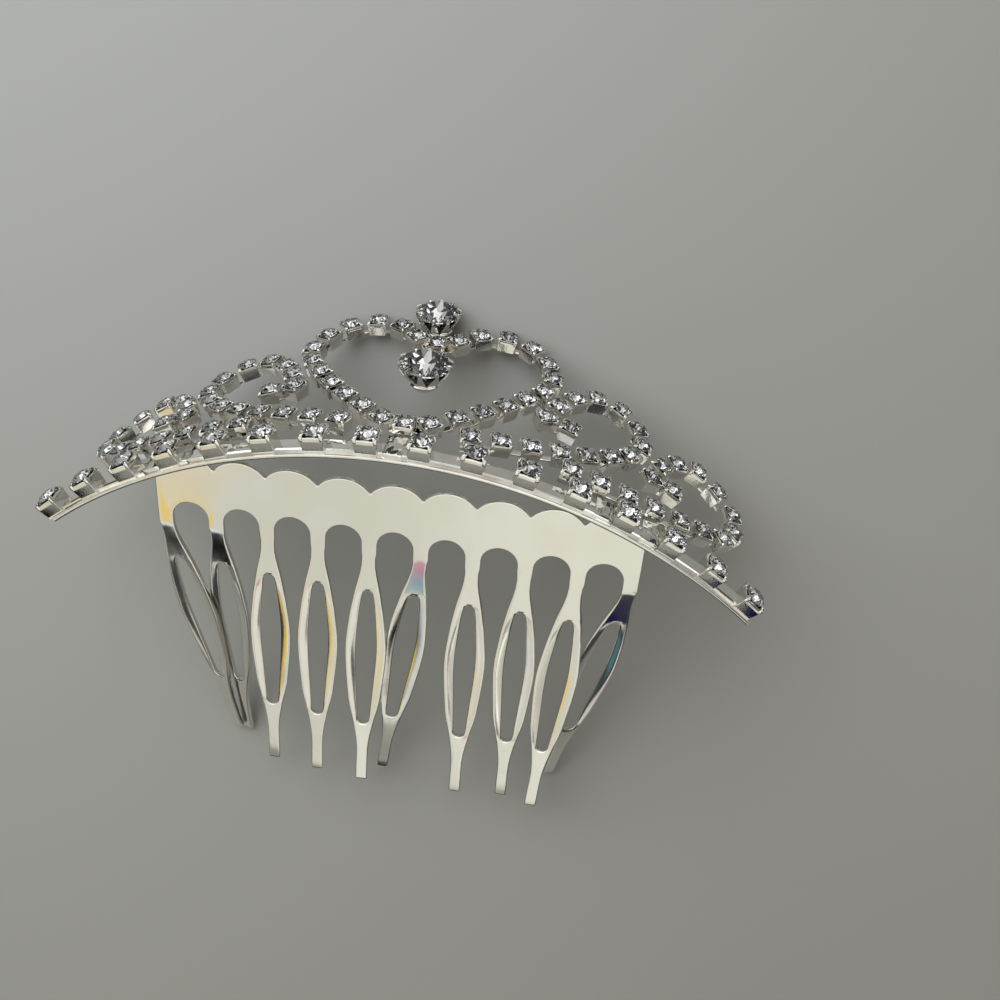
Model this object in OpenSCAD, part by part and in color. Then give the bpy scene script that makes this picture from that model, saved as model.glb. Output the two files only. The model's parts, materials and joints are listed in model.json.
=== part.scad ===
// Clip-in tiara: a stone-set metal tiara on a hair comb, lying on a table.
// It is drawn as it is worn (X to the wearer's left, Y up, Z to the front) and then laid down.
// A place on the ornament is [u, y]: u is the arc length along the band from its middle.

/* [Band] */
// Radius of the band's outer face, that of a head
band_r = 75.7; // [70:0.1:85]
// Thickness of the strip
strip_t = 0.7; // [0.5:0.1:0.8]
// Width of the strip
strip_w = 3.5; // [3:0.1:4]
// Arc length of the strip to the left of its middle
strip_left = 54; // [53:0.5:56]
// Arc length of the strip to the right of its middle
strip_right = 53.6; // [53:0.2:56]

/* [Base row] */
// Number of cups in the base row
base_count = 16; // [16:16]
// Spacing of the cups
base_pitch = 7; // [6.8:0.1:7.2]
// Middle of the row, measured from the middle of the strip
base_shift = -0.7; // [-1:0.1:0]
// Side of a square cup
base_cup = 3.4; // [3.2:0.1:3.5]
// Height of the cups' floor above the strip's outer face, the thickness of the solder
base_lift = 0.2; // [0.1:0.05:0.3]
// Height of a cup's walls
base_cup_h = 2.2; // [1.9:0.1:2.4]
// Diameter of a stone
base_stone_d = 3.2; // [3:0.1:3.2]
// Width of the links between the cups
base_link_w = 2.4; // [1:0.1:2.8]
// Height of the links above the strip's outer face
base_link_t = 0.6; // [0.3:0.05:0.7]

/* [Small chains] */
// Side of a square cup
cup = 3; // [2.8:0.1:3.1]
// Height of a cup's walls
cup_h = 2; // [1.8:0.1:2.1]
// Diameter of a stone
stone_d = 2.8; // [2.6:0.1:2.9]
// Height of the chains' base above the strip's outer face
chain_off = 0.1; // [0:0.1:0.3]
// Width of the links between the cups
link_w = 0.9; // [0.6:0.1:1.2]
// Angle at which the left scroll leans inwards
left_lean = 3; // [0:0.5:5]
// Angle at which the left end scroll leans inwards
left_end_lean = 4.5; // [0:0.5:6]

/* [Large stones] */
// Diameter of the upper stone
upper_d = 6.8; // [6.4:0.1:7]
// Height of the upper stone's middle above the band
upper_y = 32.4; // [31.8:0.1:32.4]
// Distance of the upper stone's middle to the left of the band's middle
upper_left = 1.1; // [0:0.1:1.4]
// Diameter of the lower stone
lower_d = 7.6; // [7.2:0.1:7.8]
// Height of the lower stone's middle above the band
lower_y = 16.8; // [16.5:0.1:17.5]
// Height of the stones' widest edge above the strip's outer face
girdle_h = 4; // [3.6:0.1:4.4]
// Number of claws round each stone, with a window below each gap
claw_count = 10; // [8:12]

/* [Comb] */
// Number of teeth
tooth_count = 10; // [10:10]
// Spacing of the teeth
tooth_pitch = 7.23; // [7.1:0.01:7.3]
// Thickness of the sheet
sheet_t = 0.9; // [0.7:0.1:1]
// Length from the cusps of the scallops to the tips of the teeth
comb_length = 52.3; // [51:0.1:53]
// Height of the scallops
scallop_h = 1.9; // [1.5:0.1:2.2]
// Depth of the spine, from the cusps to the tops of the arches
spine_depth = 5.7; // [5.4:0.1:6]
// Width of the arches between the teeth
arch_w = 5.1; // [5:0.1:5.2]
// Angle from the ornament to the comb
comb_angle = 87.5; // [86:0.1:89]

/* [Hidden] */
$fn = 48;

// Claw baskets: the foot, the wall and how far its rim stands out and lies below the stone's widest edge
foot_r = 1.4;
foot_t = 0.6;
basket_wall = 0.35;
rim_out = 0.2;
rim_drop = 0.6;
window_drop = 0.35;
// Their claws: width, thickness, height above the stone's widest edge and length below the rim
claw_w = 0.6;
claw_t = 0.3;
claw_up = 0.45;
claw_root = 0.25;
// Clearance between neighbouring pieces, and the overlap of shapes that are soldered
gap = 0.06;
lap = 0.1;
silver = [0.78, 0.78, 0.75];
crystal = [0.93, 0.95, 0.97];

// Cups of the base row: floor, corner claws, pocket, foot on the strip, links and stone above them
base_floor = 0.55;
base_claw = 0.5;
base_claw_h = 0.5;
base_hole_d = 2.8;
base_foot = 2.8;
base_seat = 0.25;
// Cups of the small chains: the same values
cup_floor = 0.5;
cup_claw = 0.42;
cup_claw_h = 0.4;
cup_hole_d = 2.5;
link_t = 0.34;
link_up = 0.08;
seat = 0.2;
// Cuts of the stones as shares of their diameter, columns [crown height, table width, pavilion depth]
small_cut = [0.16, 0.58, 0.42];
base_cut = [0.17, 0.56, 0.42];
large_cut = [0.17, 0.55, 0.36];
girdle_share = 0.03;

// The design is symmetrical about this arc length
design_shift = -0.3;
// Ways of the chains through their stones' middles, right half, columns [u, y]
heart_way = [[3.2, 5.2], [9, 10.2], [14.2, 16.5], [17.7, 23.4], [15.3, 30], [10.8, 32.5], [6.2, 31.5], [3, 28.5]];
scroll_way = [[8.8, 4.2], [16.5, 5.8], [24, 8.4], [30, 13], [32.3, 18.8], [27.8, 24.2], [22.1, 22.4],
    [17.9, 14.2], [21.4, 13.6]];
end_way = [[22.6, 4], [31.2, 4.2], [39, 5.2], [47, 8.6], [48.8, 15], [42.4, 19.9], [36.8, 17], [34.2, 10.8],
    [37.6, 11]];
heart_count = 12;
scroll_count = 15;
end_count = 15;
// Single cups of the heart: the point of the V and the cup between the lobes
point_y = 4.5;
joint_y = 27;

// Steps of a smooth way between two of its points
way_steps = 10;
function spot(c, i) = c[max(0, min(len(c) - 1, i))];
// Catmull-Rom curve through the points of c
function on_curve(c, t) =
    let (i = min(floor(t), len(c) - 2), f = t - i,
         a = spot(c, i - 1), b = spot(c, i), d = spot(c, i + 1), e = spot(c, i + 2))
    b + 0.5 * f * (d - a + f * (2 * a - 5 * b + 4 * d - e + f * (3 * (b - d) + e - a)));
function smooth(c, steps = way_steps) = [for (i = [0 : steps * (len(c) - 1)]) on_curve(c, i / steps)];
function stretch(p, i) = norm(spot(p, i + 1) - p[i]);
// Length of the way up to each of its points
function runs(p) = [for (i = 0, s = 0; i < len(p); s = s + stretch(p, i), i = i + 1) s];
// n places at equal spacing along the way c, rows of [u, y]
function spaced(c, n) =
    let (p = smooth(c), s = runs(p), last = len(p) - 1,
         u = [for (i = [0 : last]) [s[i], p[i][0]]], y = [for (i = [0 : last]) [s[i], p[i][1]]])
    [for (k = [0 : n - 1]) let (at = s[last] * k / (n - 1)) [lookup(at, u), lookup(at, y)]];
function mirrored(p, side) = [for (q = p) [side * q[0] + design_shift, q[1]]];
function heading(a, b) = atan2(b[1] - a[1], b[0] - a[0]);
// Direction of the way at each place
function headings(p) = [for (i = [0 : len(p) - 1]) heading(spot(p, i - 1), spot(p, i + 1))];

heart_right = mirrored(spaced(heart_way, heart_count), 1);
heart_left = mirrored(spaced(heart_way, heart_count), -1);
heart_point = [design_shift, point_y];
heart_joint = [design_shift, joint_y];
// Middles of the two large settings, and the width of the bars behind them
upper_place = [-upper_left, upper_y];
lower_place = [0, lower_y];
bar_w = 1.6;

// Comb: place of the middle cusp, lean and pivot of the teeth
comb_place = [0.09, -0.98, -6.37];
pivot_v = 9.6;
neck_w = 2.1;
neck_end = 11.9;
// Length of a tooth's root inside the spine
neck_lap = 1.5;
spine_half = (tooth_count - 1) / 2 * tooth_pitch + neck_w / 2;
// Outline of a tooth and of its slot, columns [length from the cusps, half width]
tooth_steps = 3;
tooth_side = [[8.4, 1.05], [11.9, 1.05], [16.1, 1.83], [20.5, 2.5], [27, 3], [36.5, 2.35], [40.75, 1.53],
    [45.4, 0.9], [52.3, 0.9]];
slot_side = [[16.1, 0.1], [16.6, 0.62], [20.5, 1.22], [27, 1.54], [36.5, 1.1], [40.75, 0.85]];
// Bends of the teeth, columns [sideways at the tip, out of the sheet at the tip, twist]
tooth_bend = [[6.5, -4.9, -25], [0.7, -4.9, -25], [0, 0.3, 0], [-0.1, 1.2, 0], [-0.1, 1.9, 0],
    [-4.7, -1.1, 0], [0.1, 1.3, 0], [0, 0.5, 0], [-2.4, 1.7, 0], [-7.7, -4.9, 15]];
function tip_half() = tooth_side[len(tooth_side) - 1][1];
// Lowest corner of tooth i's bent tip, seen from the side, [y, z]
function tip_corner(i) =
    let (bend = tooth_bend[i], reach = comb_length - pivot_v, out = asin(bend[1] / reach),
         low = -cos(bend[2]) * sheet_t / 2 - sin(abs(bend[2])) * tip_half(),
         down = sqrt(reach * reach - bend[0] * bend[0]),
         y = low * sin(out) - down * cos(out) - pivot_v, z = low * cos(out) + down * sin(out))
    [comb_place[1] + y * cos(comb_angle) - z * sin(comb_angle),
     comb_place[2] + y * sin(comb_angle) + z * cos(comb_angle)];

// Laid down: the tiara stands like a tent on the heart's lobes and on the tip of the second tooth
touch = tip_corner(1);
function sag(u) = band_r - sqrt(band_r * band_r - u * u);
// Corners of the cups at the places p, rows of [u, y]
function cup_corners(p) =
    let (h = headings(p))
    [for (i = [0 : len(p) - 1]) for (turn = [45 : 90 : 315])
        p[i] + cup / sqrt(2) * [cos(h[i] + turn), sin(h[i] + turn)]];
rest_tilt = min([for (c = cup_corners(heart_left))
    if (c[1] > joint_y) atan2(chain_off - sag(c[0]) - touch[1], c[1] - touch[0])]);
function laid(y, z) = [y * cos(rest_tilt) + z * sin(rest_tilt), -y * sin(rest_tilt) + z * cos(rest_tilt)];
rest_lift = -laid(touch[0], touch[1])[1];
// Moves the origin under the middle of the bounding box
centre = [-0.55, -16.34];

module laid_down() {
    translate([-centre[0], -centre[1], rest_lift]) rotate([-rest_tilt, 0, 0]) children();
}

// Frame of a place on the ornament: X along the band, Y up, Z outwards
module on_band(place, turn = 0, off = 0) {
    translate([0, 0, -band_r]) rotate([0, place[0] / band_r * 180 / PI, 0])
        translate([0, place[1], band_r + off]) rotate([0, 0, turn]) children();
}

// Rotates its children inwards about the band's edge at one arc length
module leaned(u, angle) {
    at = u / band_r * 180 / PI;
    edge = [band_r * sin(at), strip_w / 2, band_r * cos(at) - band_r];
    translate(edge) rotate([0, at, 0]) rotate([-angle, 0, 0]) rotate([0, -at, 0]) translate(-edge) children();
}

// A square cup with a round pocket, walls of height h and a claw at each corner
module square_cup(w, h, floor_t, hole_d, claw, claw_h) {
    difference() {
        translate([-w / 2, -w / 2, 0]) cube([w, w, h + claw_h]);
        translate([claw - w / 2, -w, h]) cube([w - 2 * claw, 2 * w, h]);
        translate([-w, claw - w / 2, h]) cube([2 * w, w - 2 * claw, h]);
        translate([0, 0, floor_t]) cylinder(d = hole_d, h = h);
    }
}

module base_cup() {
    square_cup(base_cup, base_cup_h, base_floor, base_hole_d, base_claw, base_claw_h);
}

module small_cup() {
    square_cup(cup, cup_h, cup_floor, cup_hole_d, cup_claw, cup_claw_h);
}

// A straight link inside the floors of the cups at two places
module link(a, b, w = link_w) {
    span = norm(b - a);
    on_band((a + b) / 2, heading(a, b), chain_off)
        translate([-span / 2, -w / 2, link_up]) cube([span, w, link_t]);
}

// Cups at the places p, linked one to the next
module cup_chain(p) {
    h = headings(p);
    for (i = [0 : len(p) - 1]) on_band(p[i], h[i], chain_off) small_cup();
    for (i = [0 : len(p) - 2]) link(p[i], p[i + 1]);
}

function polar(r, angle, z) = [r * cos(angle), r * sin(angle), z];
// A round cut stone: a table, crown facets, a thin girdle and a pointed pavilion, girdle at height 0
module cut_stone(d, n, cut) {
    r = d / 2;
    top = [for (i = [0 : n - 1]) polar(cut[1] * r, 360 * (i + 0.5) / n, cut[0] * d)];
    rim = [for (z = [girdle_share * d, 0]) for (i = [0 : n - 1]) polar(r, 360 * i / n, z)];
    points = concat(top, rim, [[0, 0, -cut[2] * d]]);
    faces = concat(
        [[for (i = [n - 1 : -1 : 0]) i]],
        [for (i = [0 : n - 1]) [i, n + (i + 1) % n, n + i]],
        [for (i = [0 : n - 1]) [i, (i + 1) % n, n + (i + 1) % n]],
        [for (i = [0 : n - 1]) [n + i, n + (i + 1) % n, 2 * n + (i + 1) % n, 2 * n + i]],
        [for (i = [0 : n - 1]) [2 * n + i, 2 * n + (i + 1) % n, 3 * n]]);
    polyhedron(points = points, faces = faces, convexity = 2);
}

// A stone in the cup at one place
module small_stone(place, turn = 0) {
    on_band(place, turn, chain_off + cup_h + seat) cut_stone(stone_d, 8, small_cut);
}

module small_stones(p) {
    h = headings(p);
    for (i = [0 : len(p) - 1]) small_stone(p[i], h[i]);
}

// The part of a ring round the band's axis between two arc lengths
module band_arc(r0, r1, y0, y1, u0, u1) {
    per = 180 / PI / band_r;
    translate([0, 0, -band_r]) rotate([-90, 0, 0]) rotate([0, 0, u0 * per - 90])
        rotate_extrude(angle = (u1 - u0) * per, $fn = 200) translate([r0, y0]) square([r1 - r0, y1 - y0]);
}

function base_u(i) = base_shift + (i - (base_count - 1) / 2) * base_pitch;
// Solder posts that reach up from the base row to the scrolls, columns [u, top]
posts = [[-35, 2.65], [-28, 2.4], [-0.7, 2.9], [28, 2.4], [35, 2.65]];
post_w = 2.6;
post_t = 1.1;
post_low = 1.45;

module band() {
    color(silver) laid_down() union() {
        band_arc(band_r - strip_t, band_r, -strip_w / 2, strip_w / 2, -strip_left, strip_right);
        for (i = [0 : base_count - 1]) on_band([base_u(i), 0], 0, base_lift) base_cup();
        for (i = [0 : base_count - 1]) on_band([base_u(i), 0], 0, -lap)
            translate([-base_foot / 2, -base_foot / 2, 0]) cube([base_foot, base_foot, base_lift + 2 * lap]);
        for (i = [0 : base_count - 2]) on_band([base_u(i) + base_pitch / 2, 0], 0, -lap)
            translate([-base_pitch / 2, -base_link_w / 2, 0]) cube([base_pitch, base_link_w, lap + base_link_t]);
        for (p = posts) on_band([p[0], 0], 0, -lap / 2)
            translate([-post_w / 2, -post_low, 0]) cube([post_w, p[1] + post_low, post_t]);
    }
}

module base_stone(i) {
    color(crystal) laid_down() on_band([base_u(i), 0], 0, base_lift + base_cup_h + base_seat)
        cut_stone(base_stone_d, 12, base_cut);
}

module heart_chain() {
    color(silver) laid_down() union() {
        cup_chain(heart_right);
        cup_chain(heart_left);
        on_band(heart_point, 0, chain_off) small_cup();
        on_band(heart_joint, 0, chain_off) small_cup();
        link(heart_point, heart_right[0]);
        link(heart_point, heart_left[0]);
        link(heart_joint, heart_right[heart_count - 1]);
        link(heart_joint, heart_left[heart_count - 1]);
        link(heart_joint, lower_place, bar_w);
        link(heart_joint, upper_place, bar_w);
    }
}

module heart_stones() {
    color(crystal) laid_down() {
        small_stones(heart_right);
        small_stones(heart_left);
        small_stone(heart_point);
        small_stone(heart_joint);
    }
}

function scroll_places(side) = mirrored(spaced(scroll_way, scroll_count), side);
function end_places(side) = mirrored(spaced(end_way, end_count), side);
// Only the scrolls on the left lean, each about the band's edge at one arc length
scroll_hinge = -17;
end_hinge = -35;
function lean(side, angle) = side < 0 ? angle : 0;

module scroll(side) {
    color(silver) laid_down() leaned(scroll_hinge, lean(side, left_lean)) cup_chain(scroll_places(side));
}

module scroll_stones(side) {
    color(crystal) laid_down() leaned(scroll_hinge, lean(side, left_lean)) small_stones(scroll_places(side));
}

module end_scroll(side) {
    color(silver) laid_down() leaned(end_hinge, lean(side, left_end_lean)) cup_chain(end_places(side));
}

module end_scroll_stones(side) {
    color(crystal) laid_down() leaned(end_hinge, lean(side, left_end_lean)) small_stones(end_places(side));
}

// A claw basket for a stone of diameter d: a cone that opens from its foot to its rim, with windows
// under the rim and claws that stand round the stone
module setting(d) {
    foot_z = chain_off + link_up + link_t + gap;
    rim_z = girdle_h - rim_drop;
    rim_r = d / 2 + rim_out;
    slope = (rim_r - foot_r) / (rim_z - foot_z);
    difference() {
        rotate_extrude() polygon([[0, foot_z], [foot_r, foot_z], [rim_r, rim_z], [rim_r - basket_wall, rim_z],
            [foot_r - basket_wall + slope * foot_t, foot_z + foot_t], [0, foot_z + foot_t]]);
        for (i = [0 : claw_count - 1]) rotate([0, 0, 360 * i / claw_count])
            translate([0, 0, rim_z - window_drop]) rotate([0, 90, 0]) rotate([0, 0, 180])
                cylinder(d = 4 * rim_r / claw_count, h = d, $fn = 3);
    }
    for (i = [0 : claw_count - 1]) rotate([0, 0, 360 * (i + 0.5) / claw_count])
        translate([d / 2 + gap, -claw_w / 2, rim_z - claw_root])
            cube([claw_t, claw_w, claw_root + rim_drop + claw_up]);
}

module upper_setting() {
    color(silver) laid_down() on_band(upper_place) setting(upper_d);
}

module lower_setting() {
    color(silver) laid_down() on_band(lower_place) setting(lower_d);
}

module large_stone(d, place) {
    color(crystal) laid_down() on_band(place, 0, girdle_h) cut_stone(d, 16, large_cut);
}

module upper_stone() {
    large_stone(upper_d, upper_place);
}

module lower_stone() {
    large_stone(lower_d, lower_place);
}

// Frame of the comb's sheet: X along the spine, Y towards the scallops, Z out of the sheet to the front
module on_sheet() {
    translate(comb_place) rotate([comb_angle, 0, 0]) children();
}

function tooth_x(i) = (i - (tooth_count - 1) / 2) * tooth_pitch;
function gap_x(i) = (i - (tooth_count - 2) / 2) * tooth_pitch;

// Spine with scallops, arches and the roots of the teeth
module spine_outline() {
    r = (tooth_pitch * tooth_pitch / 4 + scallop_h * scallop_h) / (2 * scallop_h);
    difference() {
        union() {
            translate([-spine_half, neck_lap - neck_end]) square([2 * spine_half, neck_end - neck_lap]);
            for (i = [0 : tooth_count - 2]) intersection() {
                translate([gap_x(i), scallop_h - r]) circle(r = r);
                translate([gap_x(i) - tooth_pitch / 2, -1]) square([tooth_pitch, 1 + scallop_h]);
            }
        }
        for (i = [0 : tooth_count - 2]) translate([gap_x(i), -spine_depth - arch_w / 2]) {
            circle(d = arch_w);
            translate([-arch_w / 2, -neck_end]) square([arch_w, neck_end]);
        }
    }
}

function side_points(table) = smooth([for (r = table) [r[1], -r[0]]], tooth_steps);
function both_sides(p) = concat(p, [for (i = [len(p) - 1 : -1 : 0]) [-p[i][0], p[i][1]]]);

// One tooth, straight, with its slot
module tooth_outline() {
    difference() {
        polygon(both_sides(side_points(tooth_side)));
        polygon(both_sides(side_points(slot_side)));
    }
}

// Tooth i, bent sideways and out of the sheet and twisted at its root
module tooth(i) {
    bend = tooth_bend[i];
    reach = comb_length - pivot_v;
    translate([tooth_x(i), -pivot_v, 0])
        rotate([-asin(bend[1] / reach), 0, 0]) rotate([0, 0, asin(bend[0] / reach)]) rotate([0, bend[2], 0])
            translate([0, pivot_v, -sheet_t / 2]) linear_extrude(sheet_t) tooth_outline();
}

module comb() {
    color(silver) laid_down() difference() {
        on_sheet() union() {
            translate([0, 0, -sheet_t / 2]) linear_extrude(sheet_t) spine_outline();
            for (i = [0 : tooth_count - 1]) tooth(i);
        }
        // The spine's corners are trimmed to the strip's inner face
        translate([0, 0, -band_r]) rotate([-90, 0, 0]) difference() {
            cylinder(r = band_r + 6, h = 12, center = true);
            cylinder(r = band_r - strip_t - gap, h = 14, center = true, $fn = 200);
        }
    }
}

band();
comb();
heart_chain();
scroll(-1);  // left_scroll
scroll(1);  // right_scroll
end_scroll(-1);  // left_end_scroll
end_scroll(1);  // right_end_scroll
upper_setting();
lower_setting();
upper_stone();
lower_stone();
heart_stones();
scroll_stones(-1);  // left_scroll_stones
scroll_stones(1);  // right_scroll_stones
end_scroll_stones(-1);  // left_end_scroll_stones
end_scroll_stones(1);  // right_end_scroll_stones
base_stone(0);  // base_stone_01
base_stone(1);  // base_stone_02
base_stone(2);  // base_stone_03
base_stone(3);  // base_stone_04
base_stone(4);  // base_stone_05
base_stone(5);  // base_stone_06
base_stone(6);  // base_stone_07
base_stone(7);  // base_stone_08
base_stone(8);  // base_stone_09
base_stone(9);  // base_stone_10
base_stone(10);  // base_stone_11
base_stone(11);  // base_stone_12
base_stone(12);  // base_stone_13
base_stone(13);  // base_stone_14
base_stone(14);  // base_stone_15
base_stone(15);  // base_stone_16
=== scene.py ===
"""Clip-in tiara: a comb tiara of bright silver metal and clear cut stones, dressed around its solids."""

import json
import math

import bmesh
import bpy
import numpy as np
from bpy.props import FloatProperty, FloatVectorProperty, IntProperty, PointerProperty
from mathutils import Matrix, Vector


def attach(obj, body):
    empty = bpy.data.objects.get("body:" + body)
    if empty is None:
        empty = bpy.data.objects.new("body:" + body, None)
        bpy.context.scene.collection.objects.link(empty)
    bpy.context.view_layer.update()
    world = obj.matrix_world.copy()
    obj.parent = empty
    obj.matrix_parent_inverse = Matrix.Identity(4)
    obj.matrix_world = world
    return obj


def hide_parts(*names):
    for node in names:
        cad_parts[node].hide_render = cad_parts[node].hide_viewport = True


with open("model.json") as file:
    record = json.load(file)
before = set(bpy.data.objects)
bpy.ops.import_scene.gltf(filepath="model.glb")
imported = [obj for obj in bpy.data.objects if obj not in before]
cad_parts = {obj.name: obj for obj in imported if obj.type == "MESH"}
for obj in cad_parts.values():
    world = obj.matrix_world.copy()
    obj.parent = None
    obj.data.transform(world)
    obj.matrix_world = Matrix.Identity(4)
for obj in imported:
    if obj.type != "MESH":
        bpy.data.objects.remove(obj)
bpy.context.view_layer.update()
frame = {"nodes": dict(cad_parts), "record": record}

bl_info = {
    "name": "Clip-in Tiara",
    "version": (1, 0, 0),
    "blender": (4, 5, 0),
    "location": "View3D > Sidebar > Tiara",
    "description": "Dresses the comb tiara: strip, cups, cut stones, claw settings and stamped comb",
    "category": "Object",
}

# Pieces are modelled in millimetres and brought to metres when they are put in place
MM = 0.001
MERGE = 2e-6
CHAINS = ("heart", "left_scroll", "right_scroll", "left_end_scroll", "right_end_scroll")
BASE_STONES = tuple(sorted(name for name in frame["nodes"] if name.startswith("base_stone_")))


class TiaraSizes(bpy.types.PropertyGroup):
    """Sizes of the tiara's pieces"""

    strip_width: FloatProperty(
        name="Strip width", description="Width of the curved strip", default=0.0035, unit="LENGTH")
    strip_thickness: FloatProperty(
        name="Strip thickness", description="Thickness of the strip", default=0.0007, unit="LENGTH")
    strip_left: FloatProperty(
        name="Strip left", description="Strip's length left of its middle", default=0.054, unit="LENGTH")
    strip_right: FloatProperty(
        name="Strip right", description="Strip's length right of its middle", default=0.0536, unit="LENGTH")
    base_side: FloatProperty(
        name="Base cup side", description="Side of a cup of the base row", default=0.0034, unit="LENGTH")
    base_wall: FloatProperty(
        name="Base cup height", description="Height of its walls", default=0.0022, unit="LENGTH")
    base_lift: FloatProperty(
        name="Base lift", description="Solder under a base cup", default=0.0002, unit="LENGTH")
    base_seat: FloatProperty(
        name="Base seat", description="Stone's widest edge above the walls", default=0.00025, unit="LENGTH")
    base_stone: FloatProperty(
        name="Base stone", description="Diameter of a base stone", default=0.0032, unit="LENGTH")
    cup_side: FloatProperty(
        name="Small cup side", description="Side of a small cup", default=0.003, unit="LENGTH")
    cup_wall: FloatProperty(
        name="Small cup height", description="Height of its walls", default=0.002, unit="LENGTH")
    cup_seat: FloatProperty(
        name="Small seat", description="Stone's widest edge above the walls", default=0.0002, unit="LENGTH")
    small_stone: FloatProperty(
        name="Small stone", description="Diameter of a small stone", default=0.0028, unit="LENGTH")
    upper_stone: FloatProperty(
        name="Upper stone", description="Diameter of the upper stone", default=0.0068, unit="LENGTH")
    lower_stone: FloatProperty(
        name="Lower stone", description="Diameter of the lower stone", default=0.0076, unit="LENGTH")
    girdle_height: FloatProperty(
        name="Girdle height", description="Large stones' edge above the strip", default=0.004, unit="LENGTH")
    chain_height: FloatProperty(
        name="Chain height", description="Chains' base above the strip", default=0.0001, unit="LENGTH")
    tooth_pitch: FloatProperty(
        name="Tooth pitch", description="Spacing of the comb's teeth", default=0.00723, unit="LENGTH")
    sheet: FloatProperty(
        name="Sheet", description="Thickness of the comb's sheet", default=0.0009, unit="LENGTH")
    arch_width: FloatProperty(
        name="Arch width", description="Width of the arches between teeth", default=0.0051, unit="LENGTH")
    spine_depth: FloatProperty(
        name="Spine depth", description="From the cusps to the arches", default=0.0057, unit="LENGTH")
    scallop: FloatProperty(
        name="Scallop", description="Height of a scallop", default=0.0019, unit="LENGTH")
    teeth: IntProperty(
        name="Teeth", description="Number of teeth", default=10, min=10, max=10)


class TiaraLooks(bpy.types.PropertyGroup):
    """Colours of the finishes"""

    silver: FloatVectorProperty(
        name="Silver", description="Plated chains and strip",
        subtype="COLOR", size=3, default=(0.90, 0.895, 0.87))
    comb_silver: FloatVectorProperty(
        name="Comb silver", description="Plated comb",
        subtype="COLOR", size=3, default=(0.90, 0.89, 0.86))
    crystal: FloatVectorProperty(
        name="Crystal", description="Clear stones",
        subtype="COLOR", size=3, default=(0.97, 0.98, 1.0))
    foil: FloatVectorProperty(
        name="Foil", description="Mirror backing of the stones",
        subtype="COLOR", size=3, default=(0.93, 0.925, 0.92))
    floor: FloatVectorProperty(
        name="Floor", description="Pale table",
        subtype="COLOR", size=3, default=(0.139, 0.1285, 0.108))


def sizes():
    return bpy.context.scene.tiara_sizes


def looks():
    return bpy.context.scene.tiara_looks


def mm(length):
    """A length in metres as a number of millimetres."""
    return length / MM


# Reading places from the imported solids


def stone_corners(node):
    """The corners of each loose stone in a CAD node."""
    solid = bmesh.new()
    solid.from_mesh(frame["nodes"][node].data)
    bmesh.ops.remove_doubles(solid, verts=solid.verts, dist=MERGE)
    left = set(solid.verts)
    stones = []
    while left:
        found = [left.pop()]
        for corner in found:
            for edge in corner.link_edges:
                other = edge.other_vert(corner)
                if other in left:
                    left.remove(other)
                    found.append(other)
        stones.append(np.array([corner.co[:] for corner in found]))
    solid.free()
    return stones


def stone_seat(corners):
    """Middle of a stone's widest edge, its axis out of the table, and the directions of its corners."""
    axis = np.linalg.svd(corners - corners.mean(0))[2][2]
    height = corners @ axis
    if (height > height.max() - MERGE).sum() == 1:
        axis = -axis
        height = -height
    count = (len(corners) - 1) // 3
    edge = corners[np.argsort(height)[1:1 + count]]
    middle = edge.mean(0)
    return Vector(middle), Vector(axis).normalized(), [Vector(point - middle).normalized() for point in edge]


def lined_up(seats, first):
    """The stones of a chain in order, each the nearest to the one before it."""
    left = list(seats)
    row = [left.pop(left.index(min(left, key=first)))]
    while left:
        row.append(left.pop(left.index(min(left, key=lambda seat: (seat[0] - row[-1][0]).length))))
    return row


def seat_frames(row, closed=False):
    """A frame for each stone of a row: X along the row, Z out of the table, origin at the widest edge."""
    frames = []
    for index, (middle, axis, corners) in enumerate(row):
        before = row[index - 1][0] if index or closed else middle
        after = row[(index + 1) % len(row)][0] if index + 1 < len(row) or closed else middle
        along = (after - before).normalized()
        heading = max(corners, key=lambda corner: corner.dot(along))
        across = axis.cross(heading).normalized()
        heading = across.cross(axis)
        frames.append(Matrix((heading, across, axis)).transposed().to_4x4())
        frames[-1].translation = middle
    return frames


def worn_frame():
    """The tiara's frame as it is worn (X along the band's middle, Y up, Z to the front) and its radius."""
    row = [stone_seat(stone_corners(name)[0])[0] for name in BASE_STONES]
    first, middle, last = row[0], row[len(row) // 2], row[-1]
    up = (last - first).cross(middle - first).normalized()
    up = up if up.y > 0 else -up
    a, b = middle - first, last - first
    normal = a.cross(b)
    to_centre = normal.cross(a) * b.length_squared + b.cross(normal) * a.length_squared
    centre = first + to_centre / (2 * normal.length_squared)
    side = Vector((1, 0, 0))
    front = side.cross(up).normalized()
    height = sizes().base_lift + sizes().base_wall + sizes().base_seat
    radius = (first - centre).length - height
    worn = Matrix((side, up, front)).transposed().to_4x4()
    worn.translation = centre + front * radius
    return worn, radius


def on_band(place, turn=0.0, off=0.0):
    """The frame of a place on the ornament, [arc length, height] in millimetres, turned and lifted."""
    worn, radius = worn_frame()
    around = Matrix.Rotation(place[0] * MM / radius, 4, "Y")
    return (worn @ Matrix.Translation((0, 0, -radius)) @ around
            @ Matrix.Translation((0, place[1] * MM, radius + off * MM)) @ Matrix.Rotation(turn, 4, "Z"))


def chain_frames(chain):
    """The stones' frames along one of the small chains, from the band outwards."""
    seats = [stone_seat(corners) for corners in stone_corners(chain + "_stones")]
    worn = worn_frame()[0].inverted()
    return seat_frames(lined_up(seats, lambda seat: (worn @ seat[0]).y), closed=chain == "heart")


# Modelling by hand


def rest():
    """Object mode with nothing selected."""
    if bpy.context.object and bpy.context.object.mode != "OBJECT":
        bpy.ops.object.mode_set(mode="OBJECT")
    bpy.ops.object.select_all(action="DESELECT")


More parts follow.
